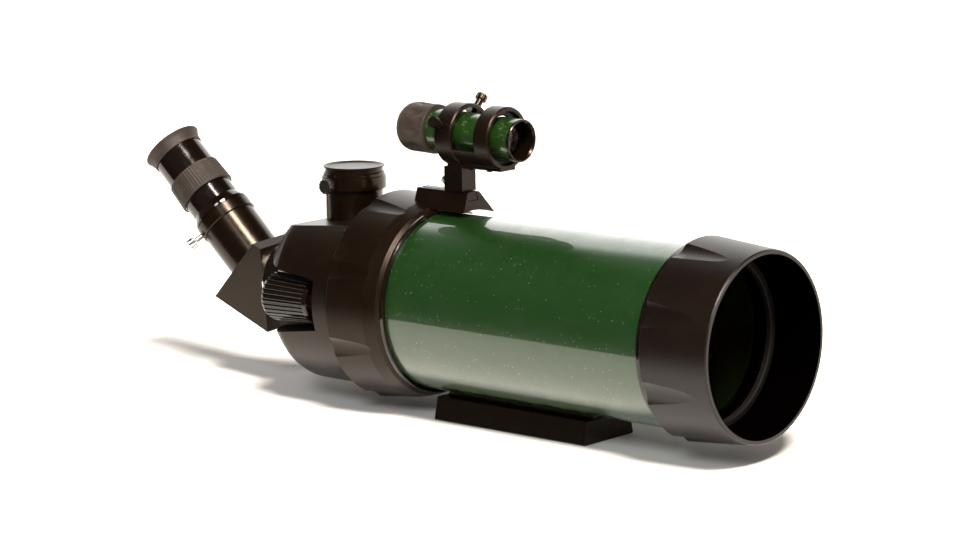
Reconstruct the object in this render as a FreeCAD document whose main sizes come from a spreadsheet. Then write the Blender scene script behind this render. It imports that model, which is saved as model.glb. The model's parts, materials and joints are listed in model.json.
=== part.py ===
"""A 90 mm Maksutov telescope with a flip mirror, a 45 degree prism diagonal and a small finder.

Stations are measured along the optical axis from the front rim, and are negative towards the
eyepiece. +X points at the sky, +Y to the observer's left, +Z up. The origin is the tripod thread
in the middle of the dovetail bar's bottom face. All lengths are in millimetres.
"""
import FreeCAD, Part
import math
import os
import re
import Sketcher

Vector = FreeCAD.Vector
Rotation = FreeCAD.Rotation
Placement = FreeCAD.Placement
X_AXIS = Vector(1, 0, 0)
Y_AXIS = Vector(0, 1, 0)
Z_AXIS = Vector(0, 0, 1)

SIZES = {
    # where the optical axis stands over the tripod thread
    "front_reach": 167.0,
    "axis_height": 66.5,
    "diagonal_roll": 5.0,
    "finder_roll": 0.0,
    "finder_tilt": 1.5,
    # front cell and corrector
    "rim_radius": 53.7,
    "cell_back": -43.0,
    "cell_back_radius": 57.2,
    "shade_radius": 50.8,
    "retainer_front": -30.0,
    "retainer_bore": 46.0,
    "lens_seat": -43.0,
    "lens_radius": 47.8,
    "lens_sphere_front": 160.0,
    "lens_sphere_back": 166.0,
    "lens_apex_front": -40.7,
    "lens_apex_back": -49.2,
    "spot_radius": 14.0,
    "secondary_baffle_length": 14.0,
    "scallop_count": 8,
    "scallop_tool": 14.0,
    # optical tube
    "tube_radius": 52.2,
    "tube_wall": 1.5,
    "tube_front": -36.0,
    "tube_back": -246.0,
    "neck_radius": 54.3,
    "seal_front": -233.2,
    "seal_back": -235.6,
    "seal_radius": 54.9,
    # rear cell
    "rear_lip_radius": 54.4,
    "ring_radius": 61.7,
    "ring_back": -272.4,
    "plate_front": -262.0,
    "plate_back": -268.0,
    "baffle_front": -150.0,
    "baffle_radius": 14.5,
    "mirror_radius": 48.0,
    "mirror_back": -252.0,
    "mirror_front": -241.0,
    "mirror_sphere": 250.0,
    # rear cover with the flip mirror
    "cover_radius": 56.2,
    "cover_wall": 3.5,
    "cover_bend": -316.0,
    "cover_back": -347.0,
    "cover_back_radius": 33.0,
    "deck_height": 42.4,
    "deck_pitch": 4.6,
    "port_station": -305.0,
    "port_screw_height": 64.0,
    # focuser
    "knob_side": -40.5,
    "knob_drop": -1.5,
    "knob_front": -296.5,
    "knob_back": -332.0,
    "knob_small_radius": 13.0,
    "knob_big_radius": 15.0,
    "knob_ribs": 32,
    "knob_groove_radius": 0.95,
    "notch_front": -288.0,
    "rod_radius": 2.5,
    "running_gap": 0.05,
    # 1.25 inch fittings
    "barrel_radius": 15.875,
    "holder_bore": 15.95,
    "post_radius": 17.15,
    "collar_radius": 18.4,
    # rear port and diagonal
    "neck_tube_radius": 19.5,
    "neck_tube_back": -361.0,
    "lock_ring_radius": 22.3,
    "prism_face": -366.0,
    "prism_half_width": 18.0,
    "cross_station": -380.0,
    "holder_radius": 17.3,
    "holder_screw_station": 44.8,
    "holder_screw_lean": 47.0,
    # dovetail bar
    "bar_length": 113.0,
    "bar_half_bottom": 22.0,
    "bar_half_top": 19.0,
    "bar_height": 13.5,
    "bar_bolt_reach": 38.0,
    "saddle_half_width": 11.0,
    "thread_radius": 3.175,
    # finder
    "shoe_back": -249.5,
    "shoe_front": -210.0,
    "shoe_top": 66.3,
    "shoe_clearance": 55.6,
    "slot_depth": 5.2,
    "slot_stop": 2.5,
    "stem_back": -227.2,
    "stem_front": -213.4,
    "beam_bottom": 81.0,
    "beam_thickness": 3.1,
    "web_drop": 7.0,
    "finder_height": 99.6,
    "finder_radius": 12.4,
    "finder_front": -172.4,
    "finder_ring_radius": 18.3,
    "finder_ring_bore": 15.8,
    "rear_ring_station": -217.9,
    "front_ring_station": -188.9,
    "rear_ring_length": 12.5,
    "front_ring_length": 11.0,
    "left_screw_angle": 48.5,
    "right_screw_angle": 158.5,
    "finder_screw_reach": 24.4,
    "grip_front": -236.9,
    "grip_back": -259.9,
    "grip_radius": 14.6,
}

doc = FreeCAD.newDocument("MaksutovTelescope")
sheet = doc.addObject("Spreadsheet::Sheet", "Sizes")
for row, (alias, value) in enumerate(SIZES.items(), start=1):
    sheet.set(f"A{row}", alias)
    sheet.set(f"B{row}", str(value))
    sheet.setAlias(f"B{row}", alias)
doc.recompute()

nodes = []


def size(alias):
    """The number in one cell of the sheet."""
    return float(sheet.get(alias))


def sized(text):
    """An expression in which each alias refers to the sheet."""
    return re.sub(r"\b([a-z][a-z_]+)\b(?!\()", r"Sizes.\1", str(text))


def bind(item, **sizes):
    """Bind properties of an object to expressions of the sheet's cells."""
    for name, text in sizes.items():
        item.setExpression(name, sized(text))
    return item


def node(item, name, frame):
    """Name a finished sub-part and carry it to its frame."""
    item.Label = name
    item.Placement = frame.multiply(item.Placement)
    nodes.append(item)
    return item


# frames -------------------------------------------------------------------------------------

def on_axis(roll=0.0):
    """The frame of the optical axis, turned about it by roll degrees."""
    base = Vector(size("front_reach"), 0, size("axis_height"))
    return Placement(base, Rotation(X_AXIS, roll))


def in_eyepiece():
    """The eyepiece's frame: its X axis leaves the prism 45 degrees up and back."""
    bend = Placement(Vector(size("cross_station"), 0, 0), Rotation(Y_AXIS, -135))
    return on_axis(size("diagonal_roll")).multiply(bend)


def in_finder():
    """The finder tube's frame: it tilts about the front ring's centre."""
    ring = Vector(size("front_ring_station"), 0, size("finder_height"))
    tilt = Placement(Vector(0, 0, 0), Rotation(Y_AXIS, size("finder_tilt")), ring)
    return on_axis(size("finder_roll")).multiply(tilt)


# shapes -------------------------------------------------------------------------------------

def origin_plane(body, role):
    return [item for item in body.Origin.OriginFeatures if item.Role == role][0]


def profile(body, name, plane, corners):
    """A closed sketch whose corners are held by expressions of the sheet."""
    sketch = body.newObject("Sketcher::SketchObject", name)
    sketch.AttachmentSupport = [(origin_plane(body, plane), "")]
    sketch.MapMode = "FlatFace"
    count = len(corners)
    turn = 2 * math.pi / count
    start = [Vector(50 * math.cos(turn * i), 50 * math.sin(turn * i), 0) for i in range(count)]
    for i in range(count):
        sketch.addGeometry(Part.LineSegment(start[i], start[(i + 1) % count]))
    for i in range(count):
        sketch.addConstraint(Sketcher.Constraint("Coincident", i, 2, (i + 1) % count, 1))
    for i, corner in enumerate(corners):
        for kind, text in zip(("DistanceX", "DistanceY"), corner):
            place = start[i].x if kind == "DistanceX" else start[i].y
            held = sketch.addConstraint(Sketcher.Constraint(kind, i, 1, place))
            sketch.setExpression(f"Constraints[{held}]", sized(text))
    return sketch


def turned(name, corners):
    """A body turned about its X axis from (station, radius) corners."""
    body = doc.addObject("PartDesign::Body", name)
    sketch = profile(body, name + "_profile", "XY_Plane", corners)
    turn = body.newObject("PartDesign::Revolution", name + "_turned")
    turn.Profile = sketch
    turn.ReferenceAxis = (sketch, ["H_Axis"])
    turn.Angle = 360
    return body


def milled(name, corners, plane, length):
    """A body padded by length, half to each side of one of its origin planes."""
    body = doc.addObject("PartDesign::Body", name)
    sketch = profile(body, name + "_profile", plane, corners)
    pad = body.newObject("PartDesign::Pad", name + "_pad")
    pad.Profile = sketch
    pad.SideType = "Symmetric"
    bind(pad, Length=length)
    return body


def rod(name, radius, length, base, direction):
    """A cylinder from base along direction."""
    item = bind(doc.addObject("Part::Cylinder", name), Radius=radius, Height=length)
    item.Placement = Placement(base, Rotation(Z_AXIS, direction))
    return item


def block(name, length, width, height, corner, rotation=None):
    item = doc.addObject("Part::Box", name)
    bind(item, Length=length, Width=width, Height=height)
    item.Placement = Placement(corner, rotation or Rotation())
    return item


def ball(name, radius, centre):
    item = bind(doc.addObject("Part::Sphere", name), Radius=radius)
    item.Placement = Placement(centre, Rotation())
    return item


def joined(name, pieces):
    item = doc.addObject("Part::MultiFuse", name)
    item.Shapes = pieces
    return item


def group(name, pieces):
    item = doc.addObject("Part::Compound", name)
    item.Links = pieces
    return item


def cut(name, base, tools):
    item = doc.addObject("Part::Cut", name)
    item.Base = base
    item.Tool = tools[0] if len(tools) == 1 else joined(name + "_tools", tools)
    return item


def common(name, first, second):
    item = doc.addObject("Part::Common", name)
    item.Base = first
    item.Tool = second
    return item


def around(count, start=0.0):
    """Evenly spaced angles in radians."""
    return [start + 2 * math.pi * i / count for i in range(count)]


def polar(radius, angle, station=0.0):
    """A point at a radius and an angle from +Y towards +Z."""
    return Vector(station, radius * math.cos(angle), radius * math.sin(angle))


def thumbscrew(name, start, direction, shank, shank_length, head, head_length, tip=0.0):
    """A knurled thumbscrew: direction points from its tip to its head."""
    along = Vector(direction).normalize()
    stem = rod(name + "_shank", shank, shank_length, start + along * tip, along)
    knob = rod(name + "_knob", head, head_length, start + along * (tip + shank_length), along)
    side = Rotation(Z_AXIS, along)
    grooves = []
    for i, angle in enumerate(around(12)):
        foot = start + along * (tip + shank_length - 0.5)
        foot = foot + side.multVec(Vector(math.cos(angle), math.sin(angle), 0)) * (head + 0.25)
        grooves.append(rod(f"{name}_groove_{i}", 0.17 * head, head_length + 1, foot, along))
    return joined(name, [stem, cut(name + "_head", knob, grooves)])


# front cell ---------------------------------------------------------------------------------

def scallop_tools(name, axis_front, axis_back, front, back):
    """Eight cylinders that cut the finger scallops of a cell."""
    tools = []
    count = int(size("scallop_count"))
    for i, angle in enumerate(around(count, math.pi / count)):
        foot = polar(axis_back, angle, back)
        line = polar(axis_front, angle, front) - foot
        tools.append(rod(f"{name}_{i}", "scallop_tool", line.Length, foot, line))
    return tools


def front_cell():
    blank = turned("front_cell_blank", [
        (0, "shade_radius"), (0, "rim_radius - 0.7"), ("-0.7", "rim_radius"),
        ("cell_back + 0.8", "cell_back_radius"), ("cell_back", "cell_back_radius - 0.8"),
        ("cell_back", "tube_radius + 0.1"), ("tube_front", "tube_radius + 0.1"),
        ("tube_front", "tube_radius - tube_wall - 0.1"), ("cell_back - 2", "tube_radius - tube_wall - 0.1"),
        ("cell_back - 2", "lens_radius - 2.3"), ("lens_seat", "lens_radius - 2.3"),
        ("lens_seat", "lens_radius + 0.2"), ("retainer_front - 3.5", "lens_radius + 0.2"),
        ("retainer_front - 3.5", "lens_radius + 1.5"), ("retainer_front + 1", "lens_radius + 1.5"),
        ("retainer_front + 1", "shade_radius"),
    ])
    reach = size("cell_back_radius") + size("scallop_tool") - 2.7
    tools = scallop_tools("front_scallop", reach, reach, 5, size("cell_back") - 1)
    node(cut("front_cell_cut", blank, tools), "front_cell", on_axis())
    ring = turned("retainer_blank", [
        ("retainer_front", "retainer_bore + 0.6"), ("retainer_front", "lens_radius + 1.4"),
        ("retainer_front - 3.3", "lens_radius + 1.4"), ("retainer_front - 3.3", "retainer_bore - 0.3"),
        ("retainer_front - 0.8", "retainer_bore - 0.3"),
    ])
    slots = [block(f"spanner_slot_{i}", 2, 3, 8, Vector(size("retainer_front") - 1.2, -1.5, side))
             for i, side in enumerate((43, -51))]
    node(cut("retainer_cut", ring, slots), "corrector_retainer", on_axis())
    node(turned("neck_ring_body", [
        ("cell_back - 0.2", "tube_radius + 0.05"), ("cell_back - 0.2", "neck_radius"),
        ("cell_back - 3.8", "neck_radius"), ("cell_back - 4.8", "neck_radius - 1"),
        ("cell_back - 4.8", "tube_radius + 0.05"),
    ]), "front_neck_ring", on_axis())


def meniscus(name, radius, front_sphere, front_apex, back_sphere, back_apex):
    """A lens between two spheres that are both hollow towards +X."""
    front = ball(name + "_front", front_sphere, Vector(front_apex + size(front_sphere), 0, 0))
    back = ball(name + "_back", back_sphere, Vector(back_apex + size(back_sphere), 0, 0))
    blank = rod(name + "_blank", radius, 60, Vector(back_apex - 1, 0, 0), X_AXIS)
    return cut(name, common(name + "_dome", blank, back), [front])


def corrector():
    back = size("lens_apex_back")
    lens = meniscus("corrector_glass", "lens_radius", "lens_sphere_front", size("lens_apex_front"),
                    "lens_sphere_back", back)
    node(lens, "corrector_lens", on_axis())
    coating = meniscus("spot_coating", "spot_radius", "lens_sphere_back", back,
                       "lens_sphere_back", back - 0.3)
    node(coating, "secondary_mirror_spot", on_axis())
    node(turned("secondary_baffle_body", [
        (back + 0.55, "spot_radius + 0.4"), (back + 0.55, "spot_radius + 1.4"),
        (f"{back} - secondary_baffle_length", "spot_radius + 3.4"),
        (f"{back} - secondary_baffle_length", "spot_radius + 2.6"),
    ]), "secondary_baffle", on_axis())


# tube and rear cell -------------------------------------------------------------------------

def tube():
    node(turned("tube_body", [
        ("tube_front - 0.1", "tube_radius - tube_wall"), ("tube_front - 0.1", "tube_radius"),
        ("tube_back", "tube_radius"), ("tube_back", "tube_radius - tube_wall"),
    ]), "optical_tube", on_axis())
    node(turned("seal_body", [
        ("seal_front", "tube_radius + 0.05"), ("seal_front", "seal_radius - 0.6"),
        ("seal_front - 0.6", "seal_radius"), ("seal_back + 0.6", "seal_radius"),
        ("seal_back + 0.05", "seal_radius - 0.6"), ("seal_back + 0.05", "tube_radius + 0.05"),
    ]), "rear_seal_ring", on_axis())


def knob_axis(station):
    return Vector(station, size("knob_side"), size("knob_drop"))


def rear_cell():
    blank = turned("rear_cell_blank", [
        ("seal_back", "tube_radius + 0.1"), ("seal_back", "rear_lip_radius"),
        ("seal_back - 1.9", "rear_lip_radius + 2"), ("seal_back - 10", "rear_lip_radius + 4.2"),
        ("ring_back + 1.2", "ring_radius"), ("ring_back", "ring_radius - 1.1"),
        ("ring_back", "cover_radius - 1.9"), ("plate_back", "cover_radius - 1.9"),
        ("plate_back", "baffle_radius + 2.5"), ("plate_front", "baffle_radius + 2.5"),
        ("plate_front", "tube_radius + 0.1"),
    ])
    back_reach = size("ring_radius") + size("scallop_tool") - 2.0
    front_reach = size("rear_lip_radius") + size("scallop_tool") + 3.6
    tools = scallop_tools("rear_scallop", front_reach, back_reach, -240.0, size("ring_back") - 1)
    tools.append(rod("rod_passage", "rod_radius + 1.5", 12, knob_axis(-272), X_AXIS))
    for i, station in enumerate(SHOE_BOLTS):
        tools.append(rod(f"shoe_thread_{i}", 1.55, 10, Vector(station, 0, SHOE_BOLT_TIP - 0.3), Z_AXIS))
    node(cut("rear_cell_cut", blank, tools), "rear_cell", on_axis())
    node(turned("baffle_body", [
        ("baffle_front", "baffle_radius - 1.2"), ("baffle_front", "baffle_radius"),
        ("plate_front - 0.1", "baffle_radius"), ("plate_front - 0.1", "baffle_radius + 2.45"),
        ("plate_back - 0.5", "baffle_radius + 2.45"), ("plate_back - 0.5", "baffle_radius - 1.2"),
    ]), "primary_baffle", on_axis())


def primary_mirror():
    blank = turned("mirror_blank", [
        ("mirror_back", "baffle_radius + 4.5"), ("mirror_back", "mirror_radius"),
        ("mirror_front", "mirror_radius"), ("mirror_front", "baffle_radius + 4.5"),
    ])
    sag = size("mirror_radius") ** 2 / (2 * size("mirror_sphere"))
    centre = Vector(size("mirror_front") - sag + size("mirror_sphere"), 0, 0)
    node(cut("mirror_cut", blank, [ball("mirror_curve", "mirror_sphere", centre)]),
         "primary_mirror", on_axis())
    carrier = turned("carrier_blank", [
        ("mirror_back - 4", "baffle_radius + 0.08"), ("mirror_back - 4", "baffle_radius + 6"),
        ("mirror_back - 3", "mirror_radius"), ("mirror_back", "mirror_radius"),
        ("mirror_back", "baffle_radius + 4.2"), ("mirror_front + 12", "baffle_radius + 4.2"),
        ("mirror_front + 12", "baffle_radius + 0.08"),
    ])
    hole = rod("rod_seat", "rod_radius", 6, knob_axis(size("mirror_back") - 5), X_AXIS)
    node(cut("carrier_cut", carrier, [hole]), "mirror_carrier", on_axis())
    node(turned("mirror_clip_body", [
        ("mirror_front - 3", "baffle_radius + 4.2"), ("mirror_front - 3", "baffle_radius + 8"),
        ("mirror_front", "baffle_radius + 6.5"), ("mirror_front", "baffle_radius + 4.2"),
    ]), "mirror_clamp_ring", on_axis())


# rear cover ---------------------------------------------------------------------------------

# stations of the bolts of the finder's shoe and of its rings, and the depth the shoe's bolts reach
SHOE_BOLTS = (-246.0, -239.0)
SHOE_BOLT_TIP = 53.6
BEAM_BOLTS = (-211.0, -197.4)

BOWL_CURVE = [(0, 0), (3, 0.2), (6, 1.2), (10, 4.0), (14, 7.4), (22, 14.2), (28, 19.7)]


def bowl(name, front, wall, back, back_radius):
    """The cover's bowl: its curve, as steps behind and inside the bend, is moved in by the wall."""
    corners = [(front, 0), (front, f"cover_radius - {wall}")]
    last = len(BOWL_CURVE) - 1
    for i, (behind, inward) in enumerate(BOWL_CURVE):
        before = BOWL_CURVE[max(i - 1, 0)]
        after = BOWL_CURVE[min(i + 1, last)]
        run = after[0] - before[0]
        fall = after[1] - before[1]
        shift = wall / math.hypot(run, fall)
        corners.append((f"cover_bend - {behind} + {fall * shift:.3f}",
                        f"cover_radius - {inward} - {run * shift:.3f}"))
    return turned(name, corners + [(back, back_radius), (back, 0)])


def deck_tool(name, drop):
    """All that lies above the sloping deck or behind its rear edge."""
    station = size("port_station")
    height = size("deck_height") - drop
    slope = Rotation(Y_AXIS, -size("deck_pitch"))
    lid = block(name + "_lid", 180, 140, 60, Vector(0, 0, 0))
    lid.Placement = Placement(Vector(station, -70, height), slope,
                              Vector(0, 0, 0)).multiply(Placement(Vector(-80, 0, 0), Rotation()))
    edge = Vector(station - 18.5 + drop * 0.6, -70, height - 1.5)
    back = block(name + "_back", 60, 140, 60, Vector(0, 0, 0))
    back.Placement = Placement(edge, Rotation(Y_AXIS, -55)).multiply(
        Placement(Vector(-30, 0, 0), Rotation()))
    return [lid, back]


def notch_tool(name, wall):
    """The wedge behind the focus knob, grown by the thickness of its walls."""
    body = milled(name, [
        (f"notch_front + {wall}", f"knob_drop + 15 + {wall}"), ("cover_back - 10", f"knob_drop + 25 + {wall}"),
        ("cover_back - 10", f"knob_drop - 25 - {wall}"), (f"notch_front + {wall}", f"knob_drop - 15 - {wall}"),
    ], "XZ_Plane", 60)
    body.Placement = Placement(Vector(0, -23.5 + wall - 30, 0), Rotation())
    return body


def rear_cover():
    outside = bowl("cover_outside", "ring_back", 0, "cover_back", "cover_back_radius")
    solid = cut("cover_solid", outside, deck_tool("deck", 0) + [notch_tool("knob_notch", 0)])
    inside = bowl("cover_inside", "ring_back + 1", size("cover_wall"), "cover_back + 4",
                  "cover_back_radius - 1.5")
    hollow = cut("cover_hollow", inside, deck_tool("deck_under", 3.5) + [notch_tool("notch_walls", 3)])
    spigot = turned("cover_spigot", [
        ("ring_back", "cover_radius - 5"), ("ring_back", "cover_radius - 2"),
        ("plate_back - 0.2", "cover_radius - 2"), ("plate_back - 0.2", "cover_radius - 5"),
    ])
    station = size("port_station")
    bottom = size("cover_back")
    openings = [
        rod("port_opening", "post_radius", 40, Vector(station, 0, 20), Z_AXIS),
        rod("neck_opening", "holder_bore + 1.5", 20, Vector(bottom - 8, 0, 0), X_AXIS),
        rod("bush_opening", 8, 14, knob_axis(size("notch_front") - 6), X_AXIS),
        rod("axle_opening", 2.05, 40, Vector(-290.5, 30, -21), Y_AXIS),
    ]
    shell = cut("cover_shell", solid, [hollow] + openings)
    rim = cut("cover_rim", spigot, deck_tool("rim_deck", 0))
    node(joined("cover_whole", [shell, rim]), "rear_cover", on_axis())
    heads = []
    for i, angle in enumerate(around(4, math.pi / 4)):
        foot = polar(58.6, angle, size("ring_back"))
        heads.append(joined(f"cover_screw_{i}", [
            rod(f"cover_screw_head_{i}", 2.0, 1.6, foot - X_AXIS * 1.6, X_AXIS),
            rod(f"cover_screw_hex_{i}", 1.0, 0.4, foot - X_AXIS * 2.0, X_AXIS)]))
    node(group("cover_screws_all", heads), "rear_cell_screws", on_axis())


# focuser ------------------------------------------------------------------------------------

def focuser():
    frame = on_axis().multiply(Placement(knob_axis(0), Rotation()))
    node(turned("rod_body", [
        ("mirror_back - 0.1", 0), ("mirror_back - 0.1", "rod_radius"),
        ("knob_back + 12", "rod_radius"), ("knob_back + 11.4", "rod_radius - 0.6"), ("knob_back + 11.4", 0),
    ]), "focus_rod", frame)
    node(turned("bush_body", [
        ("notch_front + 3.6", "rod_radius + 3.55"), ("notch_front + 3.6", 9.5),
        ("notch_front + 3.05", 9.5), ("notch_front + 3.05", 7.95), ("notch_front - 0.6", 7.95),
        ("notch_front - 0.6", "rod_radius + 3.55"),
    ]), "focus_bush", frame)
    node(turned("nut_body", [
        ("notch_front + 6", "rod_radius + running_gap"), ("notch_front + 6", "rod_radius + 3.5"),
        ("knob_front - 12", "rod_radius + 3.5"), ("knob_front - 12", "rod_radius + running_gap"),
    ]), "focus_nut", frame)
    blank = turned("knob_blank", [
        ("knob_front", "rod_radius + 3.5"), ("knob_front", "knob_small_radius - 0.8"),
        ("knob_front - 0.8", "knob_small_radius"), ("knob_back + 3", "knob_big_radius"),
        ("knob_back + 1", "knob_big_radius - 0.8"), ("knob_back", "knob_big_radius - 2.8"),
        ("knob_back", "4"), ("knob_back + 0.6", "3.4"), ("knob_back + 0.6", 0),
        ("knob_back + 4", 0), ("knob_back + 4", "rod_radius + 1"),
        ("knob_front - 12", "rod_radius + 1"), ("knob_front - 12", "rod_radius + 3.5"),
    ])
    grooves = []
    groove = size("knob_groove_radius")
    small = size("knob_small_radius") + 0.5 * groove
    big = size("knob_big_radius") + 0.5 * groove
    for i, angle in enumerate(around(int(size("knob_ribs")))):
        foot = polar(big, angle, size("knob_back") - 1)
        line = polar(small, angle, size("knob_front") - 2.5) - foot
        grooves.append(rod(f"knob_groove_{i}", "knob_groove_radius", line.Length, foot, line))
    node(cut("knob_cut", blank, grooves), "focus_knob", frame)


# flip mirror --------------------------------------------------------------------------------

def flip_mirror():
    hinge = on_axis().multiply(Placement(Vector(-290.5, 0, -21), Rotation()))
    node(block("flip_glass", 42, 33, 2.5, Vector(-44, -16.5, 2.1)), "flip_mirror", hinge)
    tray = block("flip_tray", 47, 36, 1.6, Vector(-46, -18, 0.4))
    lips = [block(f"flip_lip_{i}", 42, 1.0, 2.2, Vector(-44, side, 2.0))
            for i, side in enumerate((-17.8, 16.8))]
    barrel = rod("flip_barrel", 3.0, 36, Vector(0, -18, 0), Y_AXIS)
    pin_hole = rod("flip_pin_hole", 2.0, 50, Vector(0, -25, 0), Y_AXIS)
    frame_body = cut("flip_frame_cut", joined("flip_frame_blank", [tray, barrel] + lips), [pin_hole])
    node(frame_body, "flip_mirror_frame", hinge)
    node(rod("flip_pin", 2.0, 79, Vector(0, -19.5, 0), Y_AXIS), "flip_axle", hinge)
    dial = rod("flip_dial", 9, 7, Vector(0, 56.6, 0), Y_AXIS)
    wing = block("flip_wing", 26, 5, 5, Vector(-20, 58.2, -2.5))
    bore = rod("flip_dial_bore", 2.0, 12, Vector(0, 50, 0), Y_AXIS)
    node(cut("flip_lever_cut", joined("flip_lever_blank", [dial, wing]), [bore]), "flip_lever", hinge)


# top port -----------------------------------------------------------------------------------

def top_port():
    frame = on_axis().multiply(Placement(Vector(size("port_station"), 0, 0), Rotation(Y_AXIS, -90)))
    post = turned("post_blank", [
        (37.5, "holder_bore"), (37.5, "post_radius"), (60.4, "post_radius"),
        (60.4, "collar_radius + 0.3"), (60.9, "collar_radius + 0.8"), (67.9, "collar_radius + 0.8"),
        (68.4, "collar_radius + 0.3"), (68.4, "collar_radius"), (70.1, "collar_radius"),
        (70.5, "collar_radius - 0.4"), (70.5, "holder_bore"),
    ])
    out = Vector(0, -1, 0)
    height = size("port_screw_height")
    boss = rod("port_screw_boss", 3.3, 3.4, Vector(height, -17.4, 0), out)
    seat = rod("port_screw_hole", 1.85, 10, Vector(height, -14, 0), out)
    node(cut("post_cut", joined("post_whole", [post, boss]), [seat]), "top_port", frame)
    node(turned("cap_body", [
        (61, 0), (61, 15.2), (61.6, "holder_bore - 0.1"), (70.65, "holder_bore - 0.1"),
        (70.65, "post_radius"), (72.9, "post_radius"), (73.2, "collar_radius - 0.2"),
        (74.2, "collar_radius - 0.2"), (74.2, 17.4), (73.3, 15.4), (73.1, 0),
    ]), "port_cap", frame)
    screw = thumbscrew("port_screw", Vector(height, -16.05, 0), out, 1.8, 5.45, 4.6, 4.3)
    node(screw, "port_thumbscrew", frame)


# rear port and diagonal ---------------------------------------------------------------------

def rear_port():
    node(turned("rear_port_body", [
        ("cover_back + 4.1", "holder_bore"), ("cover_back + 4.1", "holder_bore + 1.45"),
        ("cover_back", "holder_bore + 1.45"), ("cover_back", "neck_tube_radius"),
        ("neck_tube_back", "neck_tube_radius"), ("neck_tube_back", "holder_bore"),
    ]), "rear_port", on_axis())
    node(turned("lock_ring_body", [
        ("cover_back - 2", "neck_tube_radius + 0.1"), ("cover_back - 2", "lock_ring_radius - 0.8"),
        ("cover_back - 2.8", "lock_ring_radius"), ("neck_tube_back - 0.6", "lock_ring_radius"),
        ("neck_tube_back - 1.6", "lock_ring_radius - 1"), ("neck_tube_back - 1.6", "holder_bore + 0.4"),
        ("neck_tube_back - 0.1", "holder_bore + 0.4"), ("neck_tube_back - 0.1", "neck_tube_radius + 0.1"),
    ]), "rear_lock_ring", on_axis())


def wedge(name, inset, half_width):
    """The diagonal's side view: each corner moves in along its bisector by the inset."""
    return milled(name, [
        (f"prism_face - 43.2 + 1.766 * {inset}", f"-13.2 + 0.351 * {inset}"),
        (f"prism_face - {inset}", f"-31.1 + 1.497 * {inset}"),
        (f"prism_face - {inset}", f"21.2 - 0.668 * {inset}"),
        (f"prism_face - 6.2 + 0.235 * {inset}", f"23.8 - 1.18 * {inset}"),
    ], "XZ_Plane", 2 * half_width)


def diagonal():
    frame = on_axis(size("diagonal_roll"))
    half = size("prism_half_width")
    face = size("prism_face")
    blank = wedge("diagonal_blank", 0, half)
    brow = Vector(face - 3, 0, 22.5)
    bevels = []
    for i, side in enumerate((-1, 1)):
        tool = block(f"brow_bevel_{i}", 60, 20, 20, Vector(0, 0, 0))
        tilt = Rotation(Y_AXIS, 22.5).multiply(Rotation(X_AXIS, side * 50))
        corner = Vector(-30, 0 if side > 0 else -20, 0)
        tool.Placement = Placement(brow + Vector(0, side * 12.5, 0), tilt).multiply(
            Placement(corner, Rotation()))
        bevels.append(tool)
    holes = [
        wedge("diagonal_hollow", 2.5, half - 2.5),
        rod("nose_hole", "barrel_radius - 2", 10, Vector(face - 5, 0, 0), X_AXIS),
    ]
    out = Vector(-1, 0, 1)
    holes.append(rod("holder_hole", 13.5, 14, Vector(size("cross_station"), 0, 0) + out * 4, out))
    node(cut("diagonal_cut", blank, bevels + holes), "diagonal_body", frame)
    node(wedge("prism_body", 2.9, half - 3), "diagonal_prism", frame)
    node(turned("nose_body", [
        ("prism_face + 0.02", "barrel_radius - 2"), ("prism_face + 0.02", "neck_tube_radius - 0.5"),
        ("prism_face + 2.2", "neck_tube_radius - 0.5"), ("prism_face + 2.2", "barrel_radius"),
        ("prism_face + 27", "barrel_radius"), ("prism_face + 28", "barrel_radius - 1"),
        ("prism_face + 28", "barrel_radius - 2"),
    ]), "diagonal_nose", frame)


def holder():
    frame = in_eyepiece()
    node(turned("holder_body", [
        (11.33, 13.5), (11.33, "holder_radius - 0.4"), (12.1, "holder_radius"),
        (40.8, "holder_radius + 0.3"), (40.8, "holder_bore"), (18, "holder_bore"), (18, 13.5),
    ]), "eyepiece_holder", frame)
    ring = turned("holder_ring", [
        (40.85, "holder_bore"), (40.85, "collar_radius - 0.2"), (41.4, "collar_radius + 0.2"),
        (48.2, "collar_radius + 0.2"), (48.7, "collar_radius - 0.3"), (48.7, "holder_bore"),
    ])
    way = thumb_way()
    foot = Vector(size("holder_screw_station"), 0, 0)
    hole = rod("holder_screw_hole", 1.75, 8, foot + way * 14, way)
    node(cut("holder_ring_cut", ring, [hole]), "holder_collar", frame)
    screw = thumbscrew("holder_screw", foot, way, 1.7, 7.45, 4.0, 5.0, 16.05)
    node(screw, "eyepiece_thumbscrew", frame)


def thumb_way():
    """The eyepiece screw's direction: under the holder, leaning to the right side."""
    lean = math.radians(size("holder_screw_lean"))
    return Vector(0, -math.sin(lean), math.cos(lean))


# eyepiece -----------------------------------------------------------------------------------

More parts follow.
